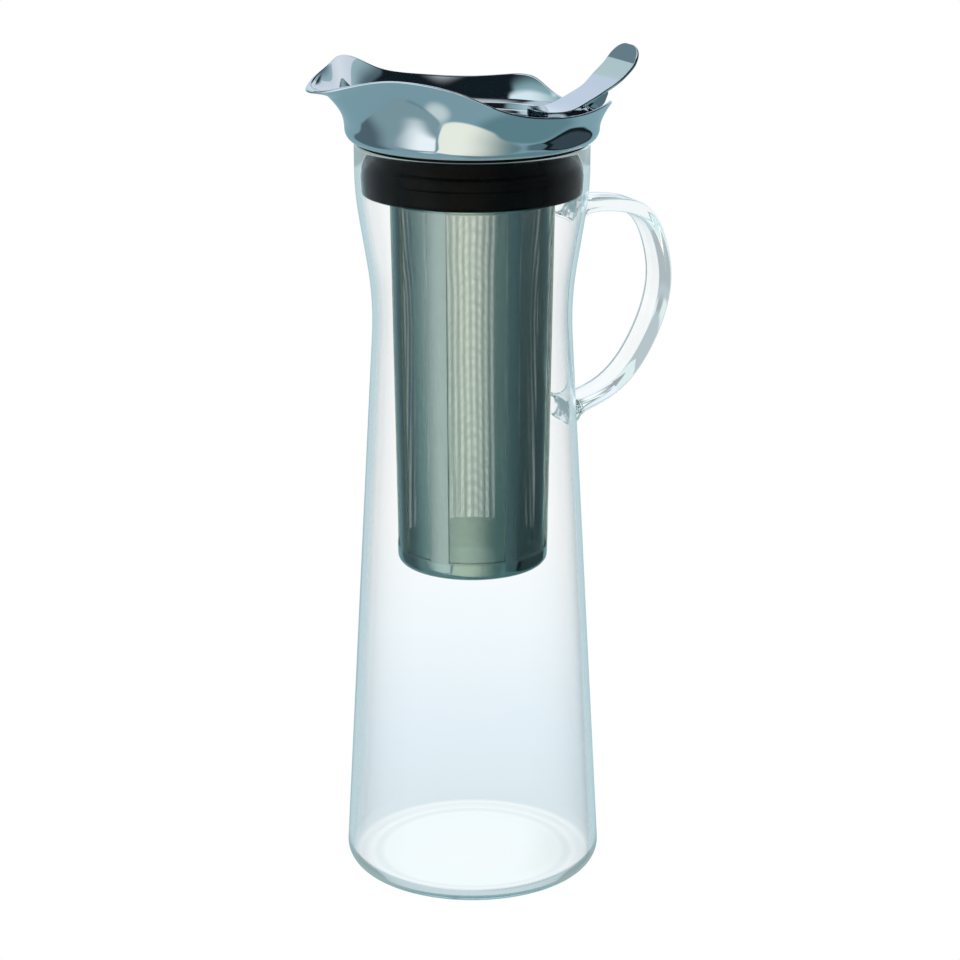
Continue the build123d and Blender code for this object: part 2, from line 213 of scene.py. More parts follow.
def bevel_edges(item, width, sharp=50.0):
    """Rounds the item's sharp edges."""
    modifier = item.modifiers.new("edges", "BEVEL")
    modifier.width = width * MM
    modifier.segments = 3
    modifier.limit_method = "ANGLE"
    modifier.angle_limit = radians(sharp)
    apply_modifiers(item, sharp)


def place(item, material, body, slot, *nodes):
    """Gives a finished piece its material and its body, and hides the CAD nodes it stands for. The slot is
    not used.
    """
    item.data.materials.clear()
    item.data.materials.append(material)
    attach(item, body)
    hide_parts(*nodes)


# Materials
def linear(hex_colour):
    """An sRGB hex value as linear red, green, blue and alpha."""
    values = [int(hex_colour[i : i + 2], 16) / 255 for i in (1, 3, 5)]
    return [v / 12.92 if v <= 0.04045 else ((v + 0.055) / 1.055) ** 2.4 for v in values] + [1]


def add_node(tree, kind, links=None, values=None, **settings):
    """Adds a node with links from other nodes' sockets, values by socket, and settings by the name of a
    property or a socket."""
    node = tree.nodes.new(kind)
    for name, value in settings.items():
        if hasattr(node, name):
            setattr(node, name, value)
        else:
            node.inputs[name.replace("_", " ")].default_value = value
    for socket, value in (values or {}).items():
        node.inputs[socket].default_value = value
    for socket, source in (links or {}).items():
        tree.links.new(source, node.inputs[socket])
    return node


def new_material(name, **settings):
    """A material, its node tree and its Principled BSDF with these socket values."""
    material = bpy.data.materials.new(name)
    material.use_nodes = True
    tree = material.node_tree
    shader = tree.nodes["Principled BSDF"]
    for socket, value in settings.items():
        shader.inputs[socket.replace("_", " ")].default_value = value
    return material, tree, shader


def borosilicate_glass():
    """Borosilicate glass, blown and fire-polished: clear, with a cold green-blue tint only where the sight
    line runs long through it, at the edges, in the foot and in the handle."""
    # Seen head on, the photographed wall mirrors next to nothing, so the specular tint is dark
    material, tree, shader = new_material(
        "borosilicate_glass",
        Base_Color=(1, 1, 1, 1),
        Roughness=0.0,
        IOR=1.47,
        Transmission_Weight=1.0,
        Specular_Tint=(0.03, 0.03, 0.03, 1),
        Emission_Color=linear("#a9b5b5"),
    )
    # A ray mirrored four times has run on and on inside the thick foot or handle. Most such rays never
    # come out and would end black, so there the glass glows with the emission's pale blue-green: a painted
    # light, not a lamp, that brightens the thick foot and handle
    path = add_node(tree, "ShaderNodeLightPath")
    trapped = add_node(
        tree, "ShaderNodeMath", {0: path.outputs["Glossy Depth"]}, {1: 4.0, 2: 0.5}, operation="COMPARE"
    )
    tree.links.new(trapped.outputs[0], shader.inputs["Emission Strength"])
    volume = add_node(tree, "ShaderNodeVolumeAbsorption", Color=linear("#4cc0ce"), Density=9.0)
    output = tree.nodes["Material Output"]
    tree.links.new(volume.outputs["Volume"], output.inputs["Volume"])
    coords = add_node(tree, "ShaderNodeTexCoord")
    # Blown glass keeps a faint unevenness, some 25 mm across and longer up the wall
    stretch = add_node(
        tree, "ShaderNodeMapping", {"Vector": coords.outputs["Object"]}, Scale=(1.0, 1.0, 0.25)
    )
    waves = add_node(tree, "ShaderNodeTexNoise", {"Vector": stretch.outputs["Vector"]}, Scale=40.0)
    bump = add_node(
        tree, "ShaderNodeBump", {"Height": waves.outputs["Fac"]}, Strength=0.03, Distance=0.001
    )
    tree.links.new(bump.outputs["Normal"], shader.inputs["Normal"])
    return material


def polished_steel():
    """18/8 stainless steel, pressed and mirror polished: a sharp, slightly blue reflection, a little
    softened by buffing marks and finger grease."""
    material, tree, shader = new_material(
        "mirror_polished_stainless", Base_Color=linear("#c3ccd2"), Metallic=1.0
    )
    coords = add_node(tree, "ShaderNodeTexCoord")
    # Haze left by handling, in patches 15 mm across
    haze = add_node(
        tree, "ShaderNodeTexNoise", {"Vector": coords.outputs["Object"]}, Scale=65.0, Detail=4.0
    )
    rough = add_node(
        tree, "ShaderNodeMapRange", {"Value": haze.outputs["Fac"]}, To_Min=0.035, To_Max=0.075
    )
    tree.links.new(rough.outputs["Result"], shader.inputs["Roughness"])
    return material


def satin_steel():
    """Stainless sheet, brushed up and down and left satin: a soft reflection with fine upright lines."""
    material, tree, shader = new_material(
        "satin_brushed_stainless", Base_Color=linear("#8f9f9b"), Metallic=1.0
    )
    coords = add_node(tree, "ShaderNodeTexCoord")
    # The brush lines are 0.3 mm apart here; real ones are finer, and would not show
    lines = add_node(
        tree, "ShaderNodeMapping", {"Vector": coords.outputs["Object"]}, Scale=(1.0, 1.0, 0.02)
    )
    grain = add_node(
        tree, "ShaderNodeTexNoise", {"Vector": lines.outputs["Vector"]}, Scale=1600.0, Detail=2.0
    )
    rough = add_node(
        tree, "ShaderNodeMapRange", {"Value": grain.outputs["Fac"]}, To_Min=0.2, To_Max=0.28
    )
    tree.links.new(rough.outputs["Result"], shader.inputs["Roughness"])
    bump = add_node(
        tree, "ShaderNodeBump", {"Height": grain.outputs["Fac"]}, Strength=0.04, Distance=0.0001
    )
    tree.links.new(bump.outputs["Normal"], shader.inputs["Normal"])
    return material


def bright_pressed_steel():
    """Deep-drawn stainless as it comes from the press: bright, with faint upright draw marks."""
    material, tree, shader = new_material(
        "bright_pressed_steel", Base_Color=linear("#8ba09c"), Metallic=1.0
    )
    coords = add_node(tree, "ShaderNodeTexCoord")
    # The draw marks are 1 mm apart and run up the wall
    drawn = add_node(
        tree, "ShaderNodeMapping", {"Vector": coords.outputs["Object"]}, Scale=(1.0, 1.0, 0.04)
    )
    lines = add_node(tree, "ShaderNodeTexNoise", {"Vector": drawn.outputs["Vector"]}, Scale=900.0)
    sheen = add_node(
        tree, "ShaderNodeMapRange", {"Value": lines.outputs["Fac"]}, To_Min=0.06, To_Max=0.14
    )
    tree.links.new(sheen.outputs["Result"], shader.inputs["Roughness"])
    return material


def woven_mesh():
    """Fine woven stainless wire cloth: see-through, with the far side's weave beating against the near
    side's in soft upright streaks. The wires are 0.2 mm apart, as in real cloth."""
    pitch, cloth_radius = 0.2, 27.5
    wires_around = round(2 * pi * cloth_radius / pitch)
    material, tree, shader = new_material("woven_stainless_mesh", Metallic=1.0, Roughness=0.27)
    coords = add_node(tree, "ShaderNodeTexCoord")
    split = add_node(tree, "ShaderNodeSeparateXYZ", {"Vector": coords.outputs["Object"]})
    # The cloth's colour is painted darker and bluer towards the bottom: a painted shade, where the room's
    # light falls off lower on the filter
    shade_height = add_node(
        tree,
        "ShaderNodeMapRange",
        {"Value": split.outputs["Z"]},
        From_Min=cup_top * MM,
        From_Max=rim_foot * MM,
    )
    painted_shade_colour = add_node(
        tree,
        "ShaderNodeMix",
        {0: shade_height.outputs["Result"]},
        {6: linear("#a0bab5"), 7: linear("#b9c6c0")},
        data_type="RGBA",
    )
    tree.links.new(painted_shade_colour.outputs[2], shader.inputs["Base Color"])
    angle = add_node(
        tree,
        "ShaderNodeMath",
        {0: split.outputs["Y"], 1: split.outputs["X"]},
        operation="ARCTAN2",
    )
    # Each set of wires covers the cloth where its cosine is high
    covers = []
    for source, waves, low, high in (
        (angle.outputs[0], wires_around, -0.1, 0.4),
        (split.outputs["Z"], 2 * pi / (pitch * MM), 0.35, 0.75),
    ):
        turns = add_node(tree, "ShaderNodeMath", {0: source}, {1: waves}, operation="MULTIPLY")
        wave = add_node(tree, "ShaderNodeMath", {0: turns.outputs[0]}, operation="COSINE")
        cover = add_node(
            tree, "ShaderNodeMapRange", {"Value": wave.outputs[0]}, From_Min=low, From_Max=high
        )
        covers.append(cover.outputs["Result"])
    # The level wires are the thinner ones, and show less than the upright ones
    level = add_node(tree, "ShaderNodeMath", {0: covers[1]}, {1: 0.55}, operation="MULTIPLY")
    cover = add_node(tree, "ShaderNodeMath", {0: covers[0], 1: level.outputs[0]}, operation="MAXIMUM")
    tree.links.new(cover.outputs[0], shader.inputs["Alpha"])
    bump = add_node(
        tree, "ShaderNodeBump", {"Height": cover.outputs[0]}, Strength=0.05, Distance=0.0001
    )
    tree.links.new(bump.outputs["Normal"], shader.inputs["Normal"])
    return material


def silicone_rubber():
    """Black silicone rubber, moulded in a polished tool: deep black with a faint wet sheen."""
    material, tree, shader = new_material(
        "black_silicone", Base_Color=linear("#040607"), IOR=1.43, Specular_IOR_Level=0.05
    )
    coords = add_node(tree, "ShaderNodeTexCoord")
    # Lint and wiping marks, 6 mm across
    marks = add_node(
        tree, "ShaderNodeTexNoise", {"Vector": coords.outputs["Object"]}, Scale=160.0, Detail=5.0
    )
    rough = add_node(
        tree, "ShaderNodeMapRange", {"Value": marks.outputs["Fac"]}, To_Min=0.12, To_Max=0.22
    )
    tree.links.new(rough.outputs["Result"], shader.inputs["Roughness"])
    return material


def moulded_black():
    """Black polypropylene, injection moulded with a fine spark-eroded grain: dull, with a grey sheen."""
    material, tree, shader = new_material(
        "black_polypropylene", Base_Color=linear("#131517"), Roughness=0.42, IOR=1.49
    )
    coords = add_node(tree, "ShaderNodeTexCoord")
    # The grain is drawn 0.5 mm across, twice its real size
    grain = add_node(
        tree, "ShaderNodeTexVoronoi", {"Vector": coords.outputs["Object"]}, Scale=2000.0
    )
    bump = add_node(
        tree, "ShaderNodeBump", {"Height": grain.outputs["Distance"]}, Strength=0.2, Distance=0.0001
    )
    tree.links.new(bump.outputs["Normal"], shader.inputs["Normal"])
    return material


glass = borosilicate_glass()
mirror_steel = polished_steel()
brushed_steel = satin_steel()
pressed_steel = bright_pressed_steel()
wire_cloth = woven_mesh()
silicone = silicone_rubber()
black_plastic = moulded_black()

# Jug: the turned body, with the strap handle welded on
base_radius, waist_radius, waist_height = 47.0, 34.9, 213.9
neck_radius, neck_height = 41.2, 253.1
base_rounding, waist_rounding, neck_rounding = 6.8, 120.0, 110.0
push_up, push_up_radius = 1.0, 34.0
floor_thickness = 3.0


def jug_side(inset, foot, foot_rounding):
    """The jug's side from its foot corner to the lip, moved in by inset."""
    taper = (base_radius - waist_radius) / waist_height
    corners = [
        (push_up_radius, foot, 0),
        (base_radius - taper * foot - inset, foot, foot_rounding),
        (waist_radius - inset, waist_height, waist_rounding),
        (neck_radius - inset, neck_height, neck_rounding),
        (neck_radius - inset, lip_height, 0),
    ]
    return rounded(corners, closed=False, steps=12)


def build_jug():
    """The jug's body, turned from its foot, sides, round lip and floor."""
    outside = jug_side(0, 0, base_rounding)[1:-1]
    inside = jug_side(glass_wall, floor_thickness, base_rounding - glass_wall)[1:-1]
    half = glass_wall / 2
    lip = [
        (neck_radius - half - half * cos(turn), lip_height - half + half * sin(turn))
        for turn in np.linspace(pi, 0, 9)
    ]
    foot = [(r, push_up * (1 - (r / push_up_radius) ** 2)) for r in np.linspace(0, push_up_radius, 8)]
    floor = [(r, z + floor_thickness) for r, z in foot]
    outline = foot + outside + lip + inside[::-1] + floor[::-1]
    return mesh_object("jug", turned(outline, 192))


jug = build_jug()

strap_width, strap_thickness, strap_edge_radius, strap_flat = 13.0, 5.2, 1.9, 0.5
strap_out, strap_top, strap_foot = 75.6, 244.0, 168.7
strap_knots = [
    (waist_radius, strap_top),
    (strap_out - 19.6, strap_top - 0.4),
    (strap_out - 8.6, strap_top - 4.7),
    (strap_out - 2.2, strap_top - 15.8),
    (strap_out, 214.0),
    (strap_out - 6.2, strap_foot + 24.3),
    (strap_out - 19.4, strap_foot + 8.2),
    (waist_radius + 1.5, strap_foot + 0.6),
]
# Where the strap meets the body it is thicker by this share, and wider by a part of it
root_swell, root_swell_run, root_widening = 0.8, 5.0 / 2.2, 0.6


def jug_outside_radius(height):
    """Outside radius of the jug at a height."""
    side = jug_side(0, 0, base_rounding)
    heights = [z for _, z in side]
    return float(np.interp(height, heights, [r for r, _ in side]))


def build_handle():
    """The strap, a little wider and thicker where it is welded to the body."""
    middles = smooth_line(strap_knots, 72)
    directions = [unit(direction) for direction in np.gradient(middles, axis=0)]
    flat_bar = bar_section(strap_width / 2, strap_thickness / 2, strap_edge_radius, strap_flat, steps=5)
    sections = []
    for x, z in middles:
        off = max(x - jug_outside_radius(z), 0)
        swell = root_swell * exp(-off / root_swell_run)
        sections.append(np.array(flat_bar) * (1 + swell * root_widening, 1 + swell))
    return mesh_object("strap", swept(middles, directions, sections))


strap = build_handle()
# The strap's ends run into the wall. This core trims the upper one, which would stand inside the jug,
# to within 0.3 mm of the inner wall
core_foot, core_shoulder, core_neck, core_top = 20.0, 225.0, 256.0, 262.0
core_outline = [
    (0, core_foot),
    (waist_radius - glass_wall / 2, core_foot),
    (waist_radius - glass_wall / 2, core_shoulder),
    (neck_radius - glass_wall / 2, core_neck),
    (neck_radius - glass_wall / 2, core_top),
    (0, core_top),
]
bore = mesh_object("bore", turned(core_outline, 96))
combine(strap, bore, "DIFFERENCE")
combine(jug, strap, "UNION", sharp=28.0)
place(jug, glass, "jug", "jug_glass", "glass_body", "glass_handle")

# Collar: a pressed bowl with a wavy rim, a beak in front and a slot for the hinge at the back
back_flare, front_flare, side_flare = 0.54, 0.06, 0.34
side_flare_angle, side_flare_spread, flare_ease = 88.0, 22.0, 3.0
beak_reach, beak_reach_rise, beak_curl, beak_half_angle = 10.5, 17.0, 1.5, 18.0
lip_reach, lip_run, lip_half_angle, lip_roll = 5.5, 2.4, 13.0, 0.45
curl_share, curl_slope = 0.55, 0.1
rim_line = [
    (-66.0, 20.6),
    (-61.0, 21.2),
    (-55.0, 23.2),
    (-48.7, 25.2),
    (-42.0, 26.6),
    (-35.0, 26.4),
    (-27.0, 24.5),
    (-13.3, 18.4),
    (4.4, 14.8),
    (20.4, 13.9),
    (33.0, 14.9),
    (39.8, 14.3),
    (43.1, 9.3),
    (46.0, 7.6),
    (54.0, 7.4),
]
slot_half_width, slot_height = 9.3, 4.3
slot_edge_radius, slot_edge_step = collar_radius + 0.8, 0.04
collar_floor = collar_foot + collar_sheet
collar_foot_radius, floor_fold_radius, least_wall = 41.0, 37.0, 0.05


def collar_outside(angle, rise):
    """Outside radius of the collar at an angle from the beak, and at a rise above its rounded corner."""
    front = ((1 + cos(radians(angle))) / 2) ** 2
    side = exp(-(((abs(angle) - side_flare_angle) / side_flare_spread) ** 2))
    flare = back_flare - (back_flare - front_flare) * front + side_flare * side
    wall = collar_radius + flare * (sqrt(rise**2 + flare_ease**2) - flare_ease)
    beak = beak_reach * (max(rise, 0) / beak_reach_rise) ** beak_curl
    return wall + beak * exp(-((angle / beak_half_angle) ** 2))


rim_curve = smooth_line(rim_line, 400)


def collar_wall(angle, rise, top):
    """Outside and inside radius of the wall, with its rim curled out and the beak's lip rolled over."""
    curl_run = curl_share * top
    curl = curl_slope * curl_run * max((rise - top) / curl_run + 1, 0) ** 2
    lip = lip_reach * exp(-((angle / lip_half_angle) ** 2)) * max((rise - top) / lip_run + 1, 0) ** 2
    outside = collar_outside(angle, rise) + curl + lip
    return outside, outside - collar_sheet - lip_roll * lip


def collar_top_rise(angle):
    """The rim's rise above the rounded corner at an angle, found by stepping up the wall to its line."""
    rise = 12.0
    for _ in range(40):
        x = -collar_wall(angle, rise, rise)[0] * cos(radians(angle))
        above_foot = np.interp(x, rim_curve[:, 0], rim_curve[:, 1])
        rise += 0.5 * (collar_foot + above_foot - collar_corner_top - rise)
    radius = collar_wall(angle, rise, rise)[0]
    if abs(angle) > 90 and abs(radius * sin(radians(angle))) < slot_half_width:
        rise = collar_foot + slot_height - collar_corner_top
    return rise


def collar_section(angle):
    """Closed (radius, height) outline of the collar's sheet at an angle: floor, corner, wall and rim."""
    wall_top = max(collar_top_rise(angle) - collar_sheet / 2, least_wall)
    outline = [(ring_radius, collar_foot), (floor_fold_radius, collar_foot)]
    corner_run = collar_radius - collar_foot_radius
    corner_rise = collar_corner_top - collar_foot
    for turn in np.linspace(0, pi / 2, 9)[:-1]:
        outline.append(
            (collar_foot_radius + corner_run * sin(turn), collar_foot + corner_rise * (1 - cos(turn)))
        )
    # The heights crowd together towards the rim, where the wall curls
    rises = [wall_top * (1 - (1 - share) ** 1.8) for share in np.linspace(0, 1, 28)]
    walls = [collar_wall(angle, rise, wall_top) for rise in rises]
    outline += [(outer, collar_corner_top + rise) for (outer, _), rise in zip(walls, rises)]
    rim_middle, rim_half = sum(walls[-1]) / 2, (walls[-1][0] - walls[-1][1]) / 2
    for turn in np.linspace(0, pi, 9)[1:-1]:
        height = collar_corner_top + wall_top + min(rim_half, 1.0) * sin(turn)
        outline.append((rim_middle + rim_half * cos(turn), height))
    outline += [(inner, collar_corner_top + rise) for (_, inner), rise in zip(walls[::-1], rises[::-1])]
    for turn in np.linspace(pi / 2, 0, 9)[1:]:
        radius = collar_foot_radius - collar_sheet + corner_run * sin(turn)
        outline.append((radius, collar_floor + (corner_rise - collar_sheet) * (1 - cos(turn))))
    outline += [(floor_fold_radius, collar_floor), (ring_radius, collar_floor)]
    return outline


def build_collar():
    """The collar's sheet, in sections all round, closer together at the beak and at the slot's sides."""
    slot_angle = 180 - np.degrees(np.arcsin(slot_half_width / slot_edge_radius))
    angles = {float(angle) for angle in range(-180, 180)}
    for side in (-1, 1):
        angles |= {side * (step + 0.5) for step in (*range(24), 39)}
        angles |= {side * (slot_angle + off) for off in (-slot_edge_step, slot_edge_step)}
    points, rings = [], []
    for angle in sorted(angles):
        section = collar_section(angle)
        rings.append(list(range(len(points), len(points) + len(section))))
        turn = radians(angle)
        points += [(-radius * cos(turn), radius * sin(turn), height) for radius, height in section]
    return mesh_object("collar", (points, ring_faces(rings, True)), sharp=50.0)


collar = build_collar()
place(collar, mirror_steel, "lid", "polished_steel", "spout_collar")

# Gasket: silicone plug ring with two fins, its corners rounded as moulded
gasket_foot, fin_split_low, fin_split_high, groove_foot = 253.0, 259.6, 260.2, 263.8
fin_radius, groove_radius, fin_taper = 39.2, 35.7, 0.5
gasket_flange_radius, gasket_flange_sheet = 40.6, 1.0
gasket_outline = rounded(
    [
        (ring_radius, gasket_foot, 0),
        (ring_radius, collar_foot, 0),
        (gasket_flange_radius, collar_foot, 0.3),
        (gasket_flange_radius, collar_foot - gasket_flange_sheet, 0.3),
        (groove_radius, collar_foot - gasket_flange_sheet, 0.6),
        (groove_radius, groove_foot, 0.8),
        (fin_radius, groove_foot, 0.5),
        (fin_radius - fin_taper, fin_split_high, 0.25),
        (fin_radius - 2 * fin_taper, (fin_split_low + fin_split_high) / 2, 0.1),
        (fin_radius - fin_taper / 2, fin_split_low, 0.25),
        (fin_radius - fin_taper, gasket_foot, 1.1),
    ]
)
gasket = mesh_object("gasket", turned(gasket_outline))
place(gasket, silicone, "lid", "silicone", "lid_gasket")

# Pour ring: moulded ring through the collar's floor
ring_bore, ring_flange_radius = 30.5, 36.0
ring_flange_top, ring_top = collar_floor + 1.2, collar_floor + 2.0
ring_outline = rounded(
    [
        (ring_bore, gasket_foot, 0.3),
        (ring_radius, gasket_foot, 0),
        (ring_radius, collar_floor, 0),
        (ring_flange_radius, collar_floor, 0),
        (ring_flange_radius, ring_flange_top, 0.4),
        (ring_radius, ring_flange_top, 0.3),
        (ring_radius, ring_top, 0.4),
        (ring_bore, ring_top, 0.6),
    ]
)
ring = mesh_object("pour_ring_moulding", turned(ring_outline))
place(ring, black_plastic, "lid", "black_moulding", "pour_ring")

# Flap: pressed pan that covers the pour ring, cut away at the back for the lever
flap_floor, flap_sheet = ring_top + 0.2, 0.8
flap_well_radius, flap_well_depth, flap_brim_rise, flap_radius = 36.9, 2.2, 0.8, 42.9
flap_cut_x, flap_cut_half, flap_cut_foot, flap_cut_top = 34.93, 8.7, 260.0, 300.0
flap_outline = rounded(
    [
        (0, flap_floor, 0),
        (flap_well_radius + 0.1, flap_floor, 0.9),
        (flap_well_radius + 1.2, flap_floor + flap_well_depth, 0.9),
        (flap_radius, flap_floor + flap_well_depth + flap_brim_rise, 0.3),
        (flap_radius - 0.1, flap_floor + flap_well_depth + flap_brim_rise + flap_sheet, 0.3),
        (flap_well_radius + 1.0, flap_floor + flap_well_depth + flap_sheet, 0.7),
        (flap_well_radius - 0.1, flap_floor + flap_sheet, 0.7),
        (0, flap_floor + flap_sheet, 0),
    ],
    closed=False,
)
pan = mesh_object("flap_pressing", turned(flap_outline))
cut_outline = [
    (flap_cut_x, flap_cut_foot),
    (2 * flap_radius, flap_cut_foot),
    (2 * flap_radius, flap_cut_top),
    (flap_cut_x, flap_cut_top),
]
cut = mesh_object("cut", plate(cut_outline, -flap_cut_half, flap_cut_half))
combine(pan, cut, "DIFFERENCE")
place(pan, mirror_steel, "flap", "polished_steel", "flap_pan")

# Thumb lever: a bent strip with a round tip and two folded cheeks at its root
lever_width, lever_sheet, lever_edge, lever_flat = 16.0, 1.0, 0.45, 0.3
cheek_sheet, cheek_edge = 0.8, 0.15
lever_blade_width, lever_blade_start, lever_blade_full = 20.0, 3.0, 11.0
lever_tip_radius = 7.5
lever_cap_foot, lever_cap_lean = 295.6, 0.2
lever_root_x, lever_root_z = 25.5, 279.0
lever_straight_end = (lever_root_x + 8.5, lever_root_z)
lever_over_pin = (pin_x - 1.8, pin_z + 2.3)
lever_knots = [
    (lever_root_x, lever_root_z),
    lever_straight_end,
    lever_over_pin,
    (pin_x + 4.9, pin_z + 5.6),
    (pin_x + 10.7, pin_z + 9.8),
    (pin_x + 15.8, pin_z + 14.8),
    (pin_x + 18.3, pin_z + 20.0),
]


def build_lever():
    """The lever's strip, from its root over the pin to the round tip, its last part leant outwards."""
    middles = smooth_line(lever_knots, 90)
    middles[:, 0] += lever_cap_lean * np.clip(middles[:, 1] - lever_cap_foot, 0, None)
    directions = [unit(direction) for direction in np.gradient(middles, axis=0)]
    along = np.concatenate([[0], np.cumsum(np.linalg.norm(np.diff(middles, axis=0), axis=1))])
    to_tip = along[-1] - along
    # The tip's last rings are placed closer together, so that it is round
    keep = [i for i in range(len(middles)) if to_tip[i] > lever_tip_radius]
    rows = [(middles[i], directions[i], to_tip[i]) for i in keep]
    for turn in np.linspace(0, pi / 2, 16):
        left = lever_tip_radius * (1 - sin(turn))
        share = np.interp(along[-1] - left, along, range(len(middles)))
        low = min(int(share), len(middles) - 2)
        part = share - low
        middle = middles[low] * (1 - part) + middles[low + 1] * part
        rows.append((middle, directions[low + 1], max(left, 0.01)))
    sections = []
    for middle, _, left in rows:
        opened = np.interp(middle[0] - pin_x, (lever_blade_start, lever_blade_full), (0, 1))
        half = (lever_width + (lever_blade_width - lever_width) * opened**2 * (3 - 2 * opened)) / 2
        if left < lever_tip_radius:
            half -= lever_tip_radius - sqrt(lever_tip_radius**2 - (lever_tip_radius - left) ** 2)
        edge, flat = min(lever_edge, half / 3), min(lever_flat, half / 6)
        sections.append(bar_section(half, lever_sheet / 2, edge, flat))
    middles, directions, _ = zip(*rows)
    return mesh_object("lever", swept(middles, directions, sections), sharp=60.0)


cheek_outline = rounded(
    [
        (lever_root_x, flap_floor + flap_sheet, 0.5),
        (flap_cut_x - 0.2, flap_floor + flap_sheet, 0.4),
        (flap_cut_x + 1.0, pin_z - 2.0, 0.8),
        (pin_x + 1.0, pin_z - 2.0, 1.2),
        (pin_x + 4.7, pin_z + 1.6, 1.5),
        (pin_x + 6.1, pin_z + 4.8, 0.8),
        (pin_x + 5.9, pin_z + 6.3, 0.2),
        (*lever_over_pin, 3.0),
        (*lever_straight_end, 8.0),
        (lever_root_x, lever_root_z, 0.4),
    ],
    steps=5,
)


lever = build_lever()
for side in (-1, 1):
    outer = side * lever_width / 2
    cheek = mesh_object("cheek", plate(cheek_outline, *sorted((outer, outer - side * cheek_sheet))))
    bevel_edges(cheek, cheek_edge)
    combine(lever, cheek, "UNION", sharp=50.0)
place(lever, mirror_steel, "flap", "polished_steel", "thumb_lever")

# Filter: rim, window frame, wire cloth, lapped seam and pressed cup
rim_flange_top, rim_flange_radius = 252.7, 32.4
rim_neck_top, rim_neck_radius = 262.2, 30.3
filter_top_radius, filter_foot_radius = 29.1, 27.05
cup_foot = 117.2
sleeve_top = rim_foot + 6.0
# The cloth is drawn thinner than the CAD's stand-in sleeve, whose thickness the seam still clears
frame_sheet, mesh_sheet, seam_sheet, cloth_sheet = 0.5, 0.3, 0.4, 0.12
cloth_gap, seam_gap = 0.01, 0.02
filter_rim_outline = rounded(
    [
        (filter_top_radius, rim_foot, 0),
        (rim_flange_radius, rim_foot, 0.4),
        (rim_flange_radius, rim_flange_top, 0.4),
        (rim_neck_radius, rim_flange_top, 0.2),
        (rim_neck_radius, rim_neck_top, 0.3),
        (filter_top_radius, rim_neck_top, 0.3),
    ]
)
filter_rim = mesh_object("filter_rim_ring", turned(filter_rim_outline))
place(filter_rim, pressed_steel, "filter", "satin_steel", "filter_rim")

window_angles = [
    (5, 31.5),
    (46, 89.5),
    (98.5, 142),
    (151, 172),
    (185, 211.5),
    (226, 269.5),
    (278.5, 322),
    (331, 352),
]
window_foot, window_top = cup_top + 0.5, rim_foot - 1.0
seam_angles = (172.5, 184.5)


def sleeve_radius(height):
    """Outside radius of the filter's sleeve at a height."""
    share = (height - cup_top) / (rim_foot - cup_top)
    return filter_foot_radius + (filter_top_radius - filter_foot_radius) * share


def sleeve_wall(name, low, high, outer_off, inner_off, angles, rows=12):
    """A closed curved sheet between two heights and over some angles, in degrees; None goes all round."""
    heights = np.linspace(low, high, rows)
    outline = [(sleeve_radius(z) - outer_off, z) for z in heights]
    outline += [(sleeve_radius(z) - inner_off, z) for z in heights[::-1]]
    if angles is None:
        return mesh_object(name, turned(outline, 240))
    start, end = angles
    steps = max(int(end - start), 2)
    points, rings = [], []
    for turn in np.radians(np.linspace(start, end, steps)):
        rings.append(list(range(len(points), len(points) + len(outline))))
        points += [(r * cos(turn), r * sin(turn), z) for r, z in outline]
    faces = ring_faces(rings, False)
    faces.append(rings[0][::-1])
    faces.append(rings[-1])
    return mesh_object(name, (points, faces))


def build_filter_frame():
    """The sleeve, with its tall windows cut out of it."""
    points, faces = [], []
    window_edges = {float(angle) for pair in window_angles for angle in pair}
    turns = sorted({float(angle) for angle in range(0, 360, 3)} | window_edges)
    heights = sorted({*np.linspace(cup_top, rim_foot, 10), window_foot, window_top, sleeve_top})
    count = len(turns)
    for inset in (0, frame_sheet):
        for z in heights:
            r = sleeve_radius(min(z, rim_foot)) - inset
            for turn in np.radians(turns):
                points.append((r * cos(turn), r * sin(turn), z))
    layer = count * len(heights)

    def open_cell(row, column):
        """Whether a cell of the sleeve is part of a window, or past the sleeve's ends."""
        if not 0 <= row < len(heights) - 1:
            return True
        middle_z = (heights[row] + heights[row + 1]) / 2
        after = turns[column + 1] if column + 1 < count else 360.0
        middle_turn = (turns[column] + after) / 2
        inside = any(start < middle_turn < end for start, end in window_angles)
        return inside and window_foot < middle_z < window_top

    for row in range(len(heights) - 1):
        for column in range(count):
            if open_cell(row, column):
                continue
            after = (column + 1) % count
            a, b = row * count + column, row * count + after
            c, d = (row + 1) * count + after, (row + 1) * count + column
            faces.append([a, b, c, d])
            faces.append([a + layer, d + layer, c + layer, b + layer])
            if open_cell(row - 1, column):
                faces.append([a, a + layer, b + layer, b])
            if open_cell(row + 1, column):
                faces.append([d, c, c + layer, d + layer])
            if open_cell(row, (column - 1) % count):
                faces.append([a, d, d + layer, a + layer])
            if open_cell(row, after):
                faces.append([b, b + layer, c + layer, c])
    return mesh_object("filter_windows", (points, faces))


windows = build_filter_frame()
place(windows, brushed_steel, "filter", "satin_steel", "filter_frame")

cloth = sleeve_wall(
    "filter_cloth", cup_top, rim_foot, frame_sheet + cloth_gap, frame_sheet + cloth_sheet, None
)
place(cloth, wire_cloth, "filter", "steel_mesh", "filter_mesh")

seam_off = frame_sheet + mesh_sheet + seam_gap
seam = sleeve_wall("filter_lap", cup_top, rim_foot, seam_off, seam_off + seam_sheet, seam_angles)
place(seam, brushed_steel, "filter", "satin_steel", "filter_seam")

cup_inner = filter_foot_radius - frame_sheet
cup_outline = rounded(
    [
        (0, cup_foot, 0),
        (filter_foot_radius, cup_foot, 3.0),
        (filter_foot_radius, cup_top, 0.15),
        (cup_inner, cup_top, 0.15),
        (cup_inner, cup_foot + frame_sheet, 2.5),
        (0, cup_foot + frame_sheet, 0),
    ],
    closed=False,
)
cup = mesh_object("filter_cup_pressing", turned(cup_outline))
place(cup, pressed_steel, "filter", "satin_steel", "filter_cup")

